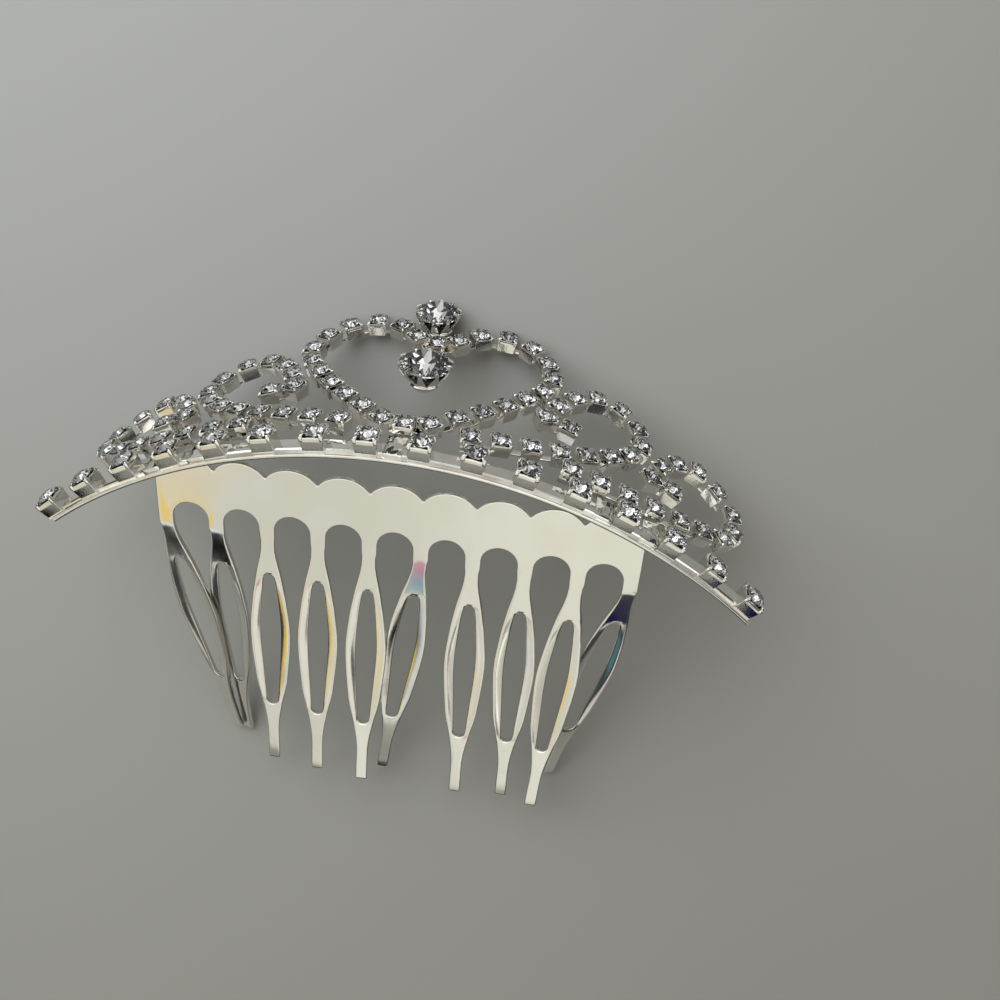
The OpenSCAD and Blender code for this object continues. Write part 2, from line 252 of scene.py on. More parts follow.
def hold(*pieces):
    """Selects these pieces and makes the first one active."""
    rest()
    for piece in pieces:
        piece.select_set(True)
    bpy.context.view_layer.objects.active = pieces[0]


def bake():
    """Bakes the place, turn and scale of what is selected into its mesh."""
    bpy.ops.object.transform_apply(location=True, rotation=True, scale=True)


def edit(piece):
    hold(piece)
    bpy.ops.object.mode_set(mode="EDIT")
    bpy.ops.mesh.select_mode(type="VERT")
    bpy.ops.mesh.select_all(action="DESELECT")


def pick(piece, kind, test):
    """In edit mode, selects the vertices, edges or faces whose middle passes a test."""
    bpy.ops.mesh.select_mode(type=kind)
    bpy.ops.mesh.select_all(action="DESELECT")
    shape = bmesh.from_edit_mesh(piece.data)
    if kind == "VERT":
        chosen = [vert for vert in shape.verts if test(vert.co)]
    elif kind == "EDGE":
        chosen = [line for line in shape.edges if test((line.verts[0].co + line.verts[1].co) / 2)]
    else:
        chosen = [face for face in shape.faces if test(face.calc_center_median())]
    for part in chosen:
        part.select_set(True)
    shape.select_flush_mode()
    bmesh.update_edit_mesh(piece.data)
    return len(chosen)


def pick_corners(piece, corners):
    """In edit mode, selects the vertices with these numbers."""
    bpy.ops.mesh.select_mode(type="VERT")
    bpy.ops.mesh.select_all(action="DESELECT")
    shape = bmesh.from_edit_mesh(piece.data)
    shape.verts.ensure_lookup_table()
    for corner in corners:
        shape.verts[corner].select_set(True)
    bmesh.update_edit_mesh(piece.data)


def faces_outwards():
    """Turns all faces outwards and ends edit mode."""
    bpy.ops.mesh.select_all(action="SELECT")
    bpy.ops.mesh.normals_make_consistent(inside=False)
    rest()


def block(name, size, middle):
    """A box of that size about that middle."""
    rest()
    bpy.ops.mesh.primitive_cube_add(size=1, location=middle)
    piece = bpy.context.object
    piece.name = name
    piece.scale = size
    bake()
    return piece


def modify(piece, kind, **settings):
    """Adds a modifier and applies it."""
    hold(piece)
    modifier = piece.modifiers.new(kind.lower(), kind)
    for name, value in settings.items():
        setattr(modifier, name, value)
    bpy.ops.object.modifier_apply(modifier=modifier.name)
    return piece


def rounded(piece, width, segments=2, angle=35):
    """Rounds the edges that are sharper than an angle."""
    return modify(piece, "BEVEL", width=width, segments=segments, limit_method="ANGLE",
                  angle_limit=math.radians(angle), harden_normals=False)


def joined(name, pieces):
    hold(*pieces)
    if len(pieces) > 1:
        bpy.ops.object.join()
    pieces[0].name = name
    pieces[0].data.name = name
    return pieces[0]


def copied(piece, places):
    """A copy of the piece, each with its own mesh, baked at each place; the piece itself is used up."""
    copies = []
    for place in places:
        copy = piece.copy()
        copy.data = piece.data.copy()
        bpy.context.scene.collection.objects.link(copy)
        copy.matrix_world = place
        copies.append(copy)
    hold(*copies)
    bake()
    bpy.data.objects.remove(piece)
    return copies


def scaled(place):
    """A place in metres for a piece that is modelled in millimetres."""
    return place @ Matrix.Scale(MM, 4)


def finished(piece, name, nodes, materials, angle=35):
    """Names a piece, smooths it, gives it its finishes and lets it stand for its CAD nodes."""
    piece.name = name
    piece.data.name = name
    hold(piece)
    bpy.ops.object.shade_smooth_by_angle(angle=math.radians(angle))
    if materials:
        modify(piece, "WEIGHTED_NORMAL", weight=100, keep_sharp=True)
    if len(piece.data.materials) == 0:
        for material in materials:
            piece.data.materials.append(material)
    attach(piece, "root")
    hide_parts(*nodes)
    rest()
    return piece


# A claw: its straight part by its height, then the steps of its bend (rise by the height, reach by the
# lean, how it narrows across and along), and the rounding of its edges by its width
CLAW_SHANK = 0.6
CLAW_BEND = ((0.25, 0.45, 0.85, 1.0), (0.15, 1.0, 0.6, 0.3))
CLAW_ROUNDING = 0.22
# A cup: how its foot and its rim narrow, the creases between its wall and the bright band above it, the
# width of its rim and the rounding of its edges by its side, and how deep the claws start under the rim
CUP_FOOT = 0.87
CUP_RIM = 0.955
CUP_CREASES = (0.7, 0.76)
CUP_RIM_WIDTH = 0.07
CUP_ROUNDING = 0.035
CLAW_SUNK = 0.3
# How near a face has to be to the top or the foot of a wall to count as it, by the wall's height
WALL_END = 0.05
# A cut stone: thickness of its girdle by its diameter, slopes of the half facets by those of the mains,
# how far in halves and stars start, slope of the stars, and the tilt past which a face is foiled
GIRDLE = 0.03
UPPER_HALF = 1.22
LOWER_HALF = 1.05
HALF_REACH = 0.985
STAR_REACH = 0.97
STAR_SLOPE = 0.55
FOILED_BELOW = -0.2
# Corners nearer than this to a cut, in millimetres, are moved onto it
CUT_WELD = 1e-5
# On bent sheet only the edges sharper than this are rounded
SHEET_ANGLE = 50


def claw(width, height, lean, foot):
    """A corner claw that stands at -X, -Y and bends over the stone towards the middle."""
    shank = height * CLAW_SHANK
    piece = block("claw", (width, width, shank), (foot, foot, shank / 2))
    edit(piece)
    pick(piece, "FACE", lambda middle: middle.z > height / 2)
    for rise, reach, narrow, flat in CLAW_BEND:
        bpy.ops.mesh.extrude_region_move(
            TRANSFORM_OT_translate={"value": (lean * reach, lean * reach, height * rise)})
        bpy.ops.transform.resize(value=(narrow, narrow, flat))
    rest()
    return rounded(piece, width * CLAW_ROUNDING, angle=20)


def cup(side, wall, floor, claw_width, claw_height, lean):
    """A square cup with a pocket for its stone and four claws, standing on its floor."""
    body = block("cup", (side, side, wall), (0, 0, wall / 2))
    edit(body)
    pick(body, "FACE", lambda middle: middle.z < wall * WALL_END)
    bpy.ops.transform.resize(value=(CUP_FOOT, CUP_FOOT, 1), center_override=(0, 0, 0))
    for level in CUP_CREASES:
        bpy.ops.mesh.select_all(action="SELECT")
        bpy.ops.mesh.bisect(plane_co=(0, 0, wall * level), plane_no=(0, 0, 1))
    pick(body, "FACE", lambda middle: middle.z > wall * (1 - WALL_END))
    bpy.ops.transform.resize(value=(CUP_RIM, CUP_RIM, 1), center_override=(0, 0, wall))
    bpy.ops.mesh.inset(thickness=side * CUP_RIM_WIDTH)
    bpy.ops.mesh.extrude_region_move(TRANSFORM_OT_translate={"value": (0, 0, floor - wall)})
    rest()
    rounded(body, side * CUP_ROUNDING)
    foot = (claw_width - side) / 2
    finger = claw(claw_width, claw_height + wall * CLAW_SUNK, lean, foot)
    start = Matrix.Translation((0, 0, wall * (1 - CLAW_SUNK)))
    corners = copied(finger, [start @ Matrix.Rotation(math.pi / 2 * k, 4, "Z") for k in range(4)])
    return joined("cup", [body] + corners)


def cut(height, reach, slope, angle, keep_below=True):
    """Cuts a facet of the stone in edit mode: its plane passes the point [reach, height] at that angle."""
    away = 1 if keep_below else -1
    point = (reach * math.cos(angle), reach * math.sin(angle), height)
    normal = (math.sin(slope) * math.cos(angle), math.sin(slope) * math.sin(angle), away * math.cos(slope))
    bpy.ops.mesh.select_all(action="SELECT")
    bpy.ops.mesh.bisect(plane_co=point, plane_no=normal, use_fill=True, clear_outer=True, threshold=CUT_WELD)


def cut_stone(diameter, crown, table, pavilion, mains):
    """A round brilliant: table, stars, mains and halves above the girdle, mains and halves below it."""
    radius = diameter / 2
    girdle = GIRDLE * diameter
    rest()
    bpy.ops.mesh.primitive_cylinder_add(
        vertices=4 * mains, radius=radius, depth=diameter * (crown + pavilion),
        location=(0, 0, diameter * (crown - pavilion) / 2))
    stone = bpy.context.object
    bake()
    edit(stone)
    step = 2 * math.pi / mains
    crown_slope = math.atan2(crown * diameter - girdle, radius * (1 - table * math.cos(step / 4)))
    under_slope = math.atan2(pavilion * diameter, radius)
    for k in range(mains):
        cut(girdle, radius, crown_slope, k * step)
        cut(0, radius, under_slope, k * step, keep_below=False)
    for k in range(mains):
        for side in (-1, 1):
            half = k * step + side * step / 4
            cut(girdle, radius * HALF_REACH, crown_slope * UPPER_HALF, half)
            cut(0, radius * HALF_REACH, under_slope * LOWER_HALF, half, keep_below=False)
        cut(crown * diameter, radius * table * STAR_REACH, crown_slope * STAR_SLOPE, (k + 0.5) * step)
    rest()
    stone.data.materials.append(crystal_material())
    stone.data.materials.append(foil_material())
    for face in stone.data.polygons:
        face.material_index = 1 if face.normal.z < FOILED_BELOW else 0
    return stone


def curve_at(table, place):
    """A smooth value from a table of places and values (Catmull-Rom)."""
    keys = [row[0] for row in table]
    if place <= keys[0]:
        return table[0][1]
    if place >= keys[-1]:
        return table[-1][1]
    k = max(index for index, key in enumerate(keys) if key <= place)
    rows = [table[max(0, min(len(table) - 1, k + shift))][1] for shift in (-1, 0, 1, 2)]
    f = (place - keys[k]) / (keys[k + 1] - keys[k])
    a, b, c, d = rows
    return b + 0.5 * f * (c - a + f * (2 * a - 5 * b + 4 * c - d + f * (3 * (b - c) + d - a)))


# Finishes

# How the plates' duller patches differ from their colour
SILVER_DULL = (0.86, 0.84, 0.78)
COMB_DULL = (0.97, 0.955, 0.91)
FOIL_DULL = (0.9, 0.9, 0.9)
# Where the golden specks on the comb fade out and where they are full, across the tiara in metres
SPECKS_TO = -0.024
SPECKS_FROM = -0.034
SPECK_COLOUR = (0.90, 0.86, 0.75)
# The dark sheet inside the baskets, whose colour is painted shade seen black through their windows, and its
# darker cloudy patches
SHADE_SHEET_COLOUR = (0.045, 0.04, 0.036)
SHADE_SHEET_PATCHES = (0.02, 0.018, 0.017)
# How much darker the clouds in the crystal and on the table are
CRYSTAL_DULL = (0.94, 0.94, 0.94)
TABLE_DULL = (0.985, 0.985, 0.985)
# Height of the plate's grain, in metres
GRAIN_HEIGHT = 0.00002


def duller(colour, factors):
    return [channel * factor for channel, factor in zip(colour, factors)]


def new_material(name):
    material = bpy.data.materials.new(name)
    material.use_nodes = True
    nodes = material.node_tree.nodes
    return material, nodes, material.node_tree.links, nodes["Principled BSDF"]


def clouded(nodes, links, shader, colours, scale, detail):
    """Gives a shader two colours in soft clouds, from Object coordinates."""
    place = nodes.new("ShaderNodeTexCoord")
    clouds = nodes.new("ShaderNodeTexNoise")
    clouds.inputs["Scale"].default_value = scale
    clouds.inputs["Detail"].default_value = detail
    tone = nodes.new("ShaderNodeValToRGB")
    for element, colour in zip(tone.color_ramp.elements, colours):
        element.color = (*colour, 1)
    links.new(place.outputs["Object"], clouds.inputs["Vector"])
    links.new(clouds.outputs["Fac"], tone.inputs["Fac"])
    links.new(tone.outputs["Color"], shader.inputs["Base Color"])


def plate_wear_group():
    """Shared plating wear: a cloudy tone, a roughness and a fine height, from Object coordinates."""
    if "plate_wear" in bpy.data.node_groups:
        return bpy.data.node_groups["plate_wear"]
    group = bpy.data.node_groups.new("plate_wear", "ShaderNodeTree")
    for name, kind, value in (("Scale", "NodeSocketFloat", 300.0), ("Smooth", "NodeSocketFloat", 0.06),
                              ("Rough", "NodeSocketFloat", 0.16)):
        socket = group.interface.new_socket(name=name, in_out="INPUT", socket_type=kind)
        socket.default_value = value
    for name in ("Tone", "Roughness", "Height"):
        group.interface.new_socket(name=name, in_out="OUTPUT", socket_type="NodeSocketFloat")
    nodes, links = group.nodes, group.links
    given = nodes.new("NodeGroupInput")
    result = nodes.new("NodeGroupOutput")
    place = nodes.new("ShaderNodeTexCoord")
    clouds = nodes.new("ShaderNodeTexNoise")
    clouds.inputs["Detail"].default_value = 4
    grain = nodes.new("ShaderNodeTexNoise")
    grain.inputs["Detail"].default_value = 3
    finer = nodes.new("ShaderNodeMath")
    finer.operation = "MULTIPLY"
    finer.inputs[1].default_value = 9.0
    spread = nodes.new("ShaderNodeMapRange")
    spread.inputs["From Min"].default_value = 0.35
    spread.inputs["From Max"].default_value = 0.7
    links.new(place.outputs["Object"], clouds.inputs["Vector"])
    links.new(place.outputs["Object"], grain.inputs["Vector"])
    links.new(given.outputs["Scale"], clouds.inputs["Scale"])
    links.new(given.outputs["Scale"], finer.inputs[0])
    links.new(finer.outputs[0], grain.inputs["Scale"])
    links.new(clouds.outputs["Fac"], spread.inputs["Value"])
    links.new(given.outputs["Smooth"], spread.inputs["To Min"])
    links.new(given.outputs["Rough"], spread.inputs["To Max"])
    links.new(clouds.outputs["Fac"], result.inputs["Tone"])
    links.new(spread.outputs["Result"], result.inputs["Roughness"])
    links.new(grain.outputs["Fac"], result.inputs["Height"])
    return group


def plated_material(name, colour, dull, scale, smooth, rough, bump):
    """Bright plate over stamped metal, a little duller and yellower in cloudy patches."""
    if name in bpy.data.materials:
        return bpy.data.materials[name]
    material, nodes, links, shader = new_material(name)
    wear = nodes.new("ShaderNodeGroup")
    wear.node_tree = plate_wear_group()
    wear.inputs["Scale"].default_value = scale
    wear.inputs["Smooth"].default_value = smooth
    wear.inputs["Rough"].default_value = rough
    tone = nodes.new("ShaderNodeValToRGB")
    tone.color_ramp.elements[0].position = 0.3
    tone.color_ramp.elements[0].color = (*colour, 1)
    tone.color_ramp.elements[1].position = 0.75
    tone.color_ramp.elements[1].color = (*dull, 1)
    relief = nodes.new("ShaderNodeBump")
    relief.inputs["Strength"].default_value = bump
    relief.inputs["Distance"].default_value = GRAIN_HEIGHT
    links.new(wear.outputs["Tone"], tone.inputs["Fac"])
    links.new(tone.outputs["Color"], shader.inputs["Base Color"])
    links.new(wear.outputs["Roughness"], shader.inputs["Roughness"])
    links.new(wear.outputs["Height"], relief.inputs["Height"])
    links.new(relief.outputs["Normal"], shader.inputs["Normal"])
    shader.inputs["Metallic"].default_value = 1.0
    return material


def silver_material():
    colour = looks().silver
    return plated_material("bright_silver_plate", colour, duller(colour, SILVER_DULL),
                           scale=420.0, smooth=0.03, rough=0.12, bump=0.25)


def comb_material():
    """The comb's plate, with golden specks at its left end."""
    if "comb_silver_plate" in bpy.data.materials:
        return bpy.data.materials["comb_silver_plate"]
    colour = looks().comb_silver
    material = plated_material("comb_silver_plate", colour, duller(colour, COMB_DULL),
                               scale=160.0, smooth=0.06, rough=0.13, bump=0.05)
    nodes, links = material.node_tree.nodes, material.node_tree.links
    shader = nodes["Principled BSDF"]
    plain = shader.inputs["Base Color"].links[0].from_socket
    place = nodes.new("ShaderNodeTexCoord")
    parts = nodes.new("ShaderNodeSeparateXYZ")
    left_end = nodes.new("ShaderNodeMapRange")
    left_end.inputs["From Min"].default_value = SPECKS_TO
    left_end.inputs["From Max"].default_value = SPECKS_FROM
    specks = nodes.new("ShaderNodeTexNoise")
    specks.inputs["Scale"].default_value = 1500.0
    specks.inputs["Detail"].default_value = 5
    spots = nodes.new("ShaderNodeMapRange")
    spots.inputs["From Min"].default_value = 0.48
    spots.inputs["From Max"].default_value = 0.62
    share = nodes.new("ShaderNodeMath")
    share.operation = "MULTIPLY"
    worn = nodes.new("ShaderNodeMix")
    worn.data_type = "RGBA"
    worn.inputs["B"].default_value = (*SPECK_COLOUR, 1)
    links.new(place.outputs["Object"], parts.inputs["Vector"])
    links.new(place.outputs["Object"], specks.inputs["Vector"])
    links.new(parts.outputs["X"], left_end.inputs["Value"])
    links.new(specks.outputs["Fac"], spots.inputs["Value"])
    links.new(left_end.outputs["Result"], share.inputs[0])
    links.new(spots.outputs["Result"], share.inputs[1])
    links.new(share.outputs[0], worn.inputs["Factor"])
    links.new(plain, worn.inputs["A"])
    links.new(worn.outputs["Result"], shader.inputs["Base Color"])
    return material


def crystal_material():
    if "clear_crystal" in bpy.data.materials:
        return bpy.data.materials["clear_crystal"]
    material, nodes, links, shader = new_material("clear_crystal")
    colour = looks().crystal
    clouded(nodes, links, shader, (colour, duller(colour, CRYSTAL_DULL)), scale=500.0, detail=2)
    shader.inputs["Metallic"].default_value = 0.0
    shader.inputs["Transmission Weight"].default_value = 1.0
    shader.inputs["IOR"].default_value = 1.56
    shader.inputs["Roughness"].default_value = 0.0
    return material


def foil_material():
    colour = looks().foil
    return plated_material("stone_foil", colour, duller(colour, FOIL_DULL),
                           scale=700.0, smooth=0.02, rough=0.08, bump=0.0)


# Painted shade: a dark, rough metal for the sheet that stands for the shade inside the baskets
def painted_shade_material():
    return plated_material("painted_shade_inside", SHADE_SHEET_COLOUR, SHADE_SHEET_PATCHES,
                           scale=900.0, smooth=0.35, rough=0.6, bump=0.1)


def floor_material():
    if "pale_table" in bpy.data.materials:
        return bpy.data.materials["pale_table"]
    material, nodes, links, shader = new_material("pale_table")
    colour = looks().floor
    clouded(nodes, links, shader, (duller(colour, TABLE_DULL), colour), scale=14.0, detail=3)
    shader.inputs["Roughness"].default_value = 0.5
    return material


# The stage: camera, floor, lights and the room that the metal mirrors

CAMERA_PLACE = (0.026504, 0.03254, 0.185097)
CAMERA_TURN = (-6.803, 5.3979, 7.6874)
CAMERA_LENS = 43.2
CAMERA_NEAR = 0.005
TABLE_SIZE = 3.0
TABLE_SQUARES = 24
# The window: a soft square light at the upper left
WINDOW_PLACE = (-0.18, 0.22, 0.25)
WINDOW_SIZE = 0.55
WINDOW_POWER = 5.75
WINDOW_COLOUR = (0.885, 1.0, 1.13)
# Panels of the room: middle and half width in degrees round from the front, lowest and highest sine of
# the height, softness, and the colour that it adds. A dark panel takes light away, down to none
ROOM_PANELS = (
    (-15, 27, 0.300, 0.84, 0.03, (0.62, 0.62, 0.535)),
    (4, 6, 0.345, 0.84, 0.20, (0.12, 0.115, 0.10)),
    (20, 8, 0.315, 0.42, 0.025, (0.52, 0.52, 0.45)),
    (-26, 4.2, 0.33, 0.60, 0.05, (0.07, 0.01, -0.07)),
    (-22.8, 2, 0.39, 0.425, 0.01, (0.10, -0.06, -0.34)),
    (-21.5, 2.5, 0.26, 0.35, 0.015, (0.06, 0.10, 0.22)),
    (-5, 22, 0.235, 0.285, 0.012, (0.21, 0.21, 0.175)),
    (-8.6, 10.1, 0.212, 0.225, 0.01, (0.235, 0.235, 0.195)),
    (-20.5, 1.9, 0.132, 0.232, 0.008, (-0.35, -0.35, -0.35)),
    (-19.5, 3.5, 0.07, 0.12, 0.008, (0.68, 0.68, 0.60)),
    (-23.8, 1.3, 0.15, 0.22, 0.01, (0.12, 0.13, 0.12)),
    (-28, 4, -0.02, 0.13, 0.02, (0.13, 0.135, 0.13)),
    (-37, 4, -0.08, 0.04, 0.02, (0.62, 0.66, 0.66)),
    (-30, 2.5, 0.235, 0.288, 0.008, (0.62, 0.42, 0.02)),
    (-29.5, 1.2, 0.30, 0.32, 0.010, (0.05, -0.05, -0.30)),
    (-8.2, 0.8, 0.390, 0.42, 0.007, (-0.14, -0.56, -0.34)),
    (-8.2, 1.0, 0.355, 0.382, 0.007, (-0.58, -0.36, -0.20)),
    (6.3, 4.2, 0.228, 0.29, 0.006, (-0.70, -0.70, -0.62)),
    (6.8, 2.4, 0.368, 0.395, 0.006, (-0.66, -0.66, -0.57)),
    (10.8, 2.2, 0.398, 0.42, 0.006, (-0.66, -0.70, -0.60)),
    (4.6, 3.3, 0.14, 0.232, 0.008, (-0.07, -0.07, -0.02)),
    (-3.5, 2.5, 0.118, 0.14, 0.008, (0.03, 0.16, 0.18)),
    (7, 5, 0.02, 0.122, 0.008, (0.60, 0.57, 0.50)),
    (55, 9, 0.32, 0.75, 0.05, (0.75, 0.72, 0.66)),
    (-62, 8, 0.32, 0.90, 0.04, (1.0, 1.0, 0.96)),
    (115, 12, 0.30, 0.85, 0.05, (1.15, 1.15, 1.1)),
    (155, 10, 0.32, 0.50, 0.05, (0.45, 0.45, 0.45)),
    (-165, 9, 0.45, 0.85, 0.05, (1.15, 1.15, 1.15)),
    (-130, 20, 0.50, 0.80, 0.05, (1.6, 1.7, 1.75)),
    (170, 18, 0.0, 0.28, 0.03, (0.20, 0.20, 0.17)),
    (0, 180, 0.62, 0.96, 0.05, (0.41, 0.40, 0.385)),
)
# The walls all over and the ceiling: middle, half width and softness by height, and the colour
ROOM_DARK = (0.0, 2.0, 1.0, (0.045, 0.045, 0.05))
ROOM_TOP = (1.0, 0.06, 0.1, (0.45, 0.44, 0.43))


def sky():
    """The room that the metal and the stones mirror: soft panels of light on dark walls."""
    world = bpy.data.worlds.new("soft_room")
    bpy.context.scene.world = world
    world.use_nodes = True
    nodes, links = world.node_tree.nodes, world.node_tree.links
    place = nodes.new("ShaderNodeTexCoord")
    parts = nodes.new("ShaderNodeSeparateXYZ")
    links.new(place.outputs["Generated"], parts.inputs["Vector"])
    front = nodes.new("ShaderNodeMath")
    front.operation = "MULTIPLY"
    front.inputs[1].default_value = -1.0
    links.new(parts.outputs["Y"], front.inputs[0])
    around = nodes.new("ShaderNodeMath")
    around.operation = "ARCTAN2"
    links.new(parts.outputs["X"], around.inputs[0])
    links.new(front.outputs[0], around.inputs[1])

    def window(value, middle, half, soft):
        """One inside a range of the value, fading to nought over the softness outside it."""
        offset = nodes.new("ShaderNodeMath")
        offset.operation = "SUBTRACT"
        offset.inputs[1].default_value = middle
        size = nodes.new("ShaderNodeMath")
        size.operation = "ABSOLUTE"
        fade = nodes.new("ShaderNodeMapRange")
        fade.interpolation_type = "SMOOTHSTEP"
        fade.inputs["From Min"].default_value = half + soft
        fade.inputs["From Max"].default_value = half
        links.new(value, offset.inputs[0])
        links.new(offset.outputs[0], size.inputs[0])
        links.new(size.outputs[0], fade.inputs["Value"])
        return fade.outputs["Result"]

    def lit(mask, colour):
        tint = nodes.new("ShaderNodeVectorMath")
        tint.operation = "SCALE"
        tint.inputs[0].default_value = colour
        links.new(mask, tint.inputs["Scale"])
        return tint.outputs["Vector"]

    def plus(first, second):
        add = nodes.new("ShaderNodeVectorMath")
        add.operation = "ADD"
        links.new(first, add.inputs[0])
        links.new(second, add.inputs[1])
        return add.outputs["Vector"]

    walls, ceiling = (lit(window(parts.outputs["Z"], *band), tone) for *band, tone in (ROOM_DARK, ROOM_TOP))
    total = plus(walls, ceiling)
    for middle, half, low, high, soft, colour in ROOM_PANELS:
        across = window(around.outputs[0], math.radians(middle), math.radians(half), soft)
        upward = window(parts.outputs["Z"], (low + high) / 2, (high - low) / 2, soft)
        both = nodes.new("ShaderNodeMath")
        both.operation = "MULTIPLY"
        links.new(across, both.inputs[0])
        links.new(upward, both.inputs[1])
        total = plus(total, lit(both.outputs[0], colour))
    darkest = nodes.new("ShaderNodeVectorMath")
    darkest.operation = "MAXIMUM"
    links.new(total, darkest.inputs[0])
    links.new(darkest.outputs["Vector"], nodes["Background"].inputs["Color"])


class TIARA_OT_stage(bpy.types.Operator):
    """Adds the camera, the pale table and the soft lights"""

    bl_idname = "tiara.stage"
    bl_label = "Stage"

    def execute(self, context):
        rest()
        turn = [math.radians(angle) for angle in CAMERA_TURN]
        bpy.ops.object.camera_add(location=CAMERA_PLACE, rotation=turn)
        camera = bpy.context.object
        camera.data.lens = CAMERA_LENS
        camera.data.clip_start = CAMERA_NEAR
        context.scene.camera = camera
        bpy.ops.mesh.primitive_grid_add(
            x_subdivisions=TABLE_SQUARES, y_subdivisions=TABLE_SQUARES, size=TABLE_SIZE)
        floor = bpy.context.object
        floor.name = "table"
        floor.data.materials.append(floor_material())
        bpy.ops.object.light_add(type="AREA", location=WINDOW_PLACE)
        light = bpy.context.object
        light.name = "window_light"
        light.data.shape = "SQUARE"
        light.data.size = WINDOW_SIZE
        light.data.energy = WINDOW_POWER
        light.data.color = WINDOW_COLOUR
        light.visible_glossy = False
        light.visible_transmission = False
        light.rotation_euler = (-Vector(WINDOW_PLACE)).to_track_quat("-Z", "Y").to_euler()
        sky()
        context.scene.view_settings.view_transform = "Standard"
        rest()
        return {"FINISHED"}


# The pieces

# Solder posts: place along the band and top, then their width, thickness and foot below the band's middle
POSTS = ((-35, 2.65), (-28, 2.4), (-0.7, 2.9), (28, 2.4), (35, 2.65))
POST_WIDTH = 2.6
POST_THICK = 1.1
POST_FOOT = 1.45
# A post's squares, how far out its lumpy part reaches by its width and height, how far that rises and how
# high the rim round it is by the thickness, and how far the lumps stray, in any way and straight out
POST_SQUARES = (4, 6)
POST_FACE = (0.4, 0.45)
POST_RISE = 0.22
POST_RIM = 0.7
LUMPS = 0.2
LUMP_SHARE = 0.6
POST_ROUNDING = 0.05
POST_SUNK = 0.05
# Links: width, thickness, and their underside's depth below the base cups or height over the small cups' feet
BASE_LINK = (2.4, 0.7, 0.3)
SMALL_LINK = (0.9, 0.34, 0.08)
# Cups: thickness of the floor, then width, height and lean of the claws
BASE_CUP = (0.55, 0.6, 0.6, 0.34)
SMALL_CUP = (0.5, 0.5, 0.5, 0.28)
# Pads of solder under the base cups: side by the cup's, thickness and middle
PAD_SIDE = 0.85
PAD_THICK = 0.5
PAD_MIDDLE = -0.05
# Cuts of the stones: crown and table by the diameter, depth below the girdle, number of main facets
BASE_CUT = (0.17, 0.56, 0.42, 8)
CHAIN_CUT = (0.16, 0.58, 0.42, 8)
LARGE_CUT = (0.17, 0.55, 0.36, 8)
# Each stone keeps its facets sharp
FACET_ANGLE = 5
# The strip: steps of its curve, and how near its double corners lie to each other
STRIP_STEPS = 160
STRIP_WELD = 1e-4
# Rounding of strip and links by their thickness
EDGE_ROUNDING = 0.2
# The bars that carry the settings, and how near the heart's middle line the cup between its lobes lies
HEART_BAR_WIDTH = 1.6
HEART_MIDDLE = 0.0006


def strip():
    """The curved strip: a rounded section spun about the band's axis."""
    radius = mm(worn_frame()[1])
    size = sizes()
    thick, width = mm(size.strip_thickness), mm(size.strip_width)
    left, right = mm(size.strip_left) / radius, mm(size.strip_right) / radius
    rest()
    bpy.ops.mesh.primitive_plane_add(size=1)
    piece = bpy.context.object
    piece.scale = (thick, width, 1)
    bake()
    edit(piece)
    bpy.ops.mesh.select_all(action="SELECT")
    bpy.ops.mesh.bevel(offset=thick * EDGE_ROUNDING, segments=2, affect="VERTICES")
    rest()
    start = (Matrix.Translation((0, 0, -radius)) @ Matrix.Rotation(-left, 4, "Y")
             @ Matrix.Translation((0, 0, radius - thick / 2)) @ Matrix.Rotation(math.pi / 2, 4, "Y"))
    piece.matrix_world = start
    hold(piece)
    bake()
    edit(piece)
    bpy.ops.mesh.select_all(action="SELECT")
    bpy.ops.mesh.spin(steps=STRIP_STEPS, angle=left + right, center=(0, 0, -radius), axis=(0, -1, 0))
    bpy.ops.mesh.select_all(action="DESELECT")
    bpy.ops.mesh.select_mode(type="EDGE")
    bpy.ops.mesh.select_non_manifold(use_wire=False, use_multi_face=False, use_non_contiguous=False)
    bpy.ops.mesh.fill_holes(sides=0)
    bpy.ops.mesh.select_all(action="SELECT")
    bpy.ops.mesh.remove_doubles(threshold=STRIP_WELD)
    faces_outwards()
    return copied(piece, [scaled(worn_frame()[0])])


def base_frames():
    row = [stone_seat(stone_corners(name)[0]) for name in BASE_STONES]
    return seat_frames(row)


def bars_between(frames, width, thickness, drop, closed=False):
    """Flat links from each place to the next, at a depth below the stones' edges."""
    pairs = list(zip(frames, frames[1:])) + ([(frames[-1], frames[0])] if closed else [])
    places = []
    for a, b in pairs:
        along = b.translation - a.translation
        axis = (a.to_3x3().col[2] + b.to_3x3().col[2]).normalized()
        across = axis.cross(along).normalized()
        heading = along.normalized()
        place = Matrix((heading, across, heading.cross(across))).transposed().to_4x4()
        place.translation = (a.translation + b.translation) / 2 - place.to_3x3().col[2] * drop * MM
        places.append(place @ Matrix.Diagonal((along.length, MM, MM, 1)))
    link = block("link", (1, width, thickness), (0, 0, thickness / 2))
    return copied(rounded(link, thickness * EDGE_ROUNDING, segments=1), places)


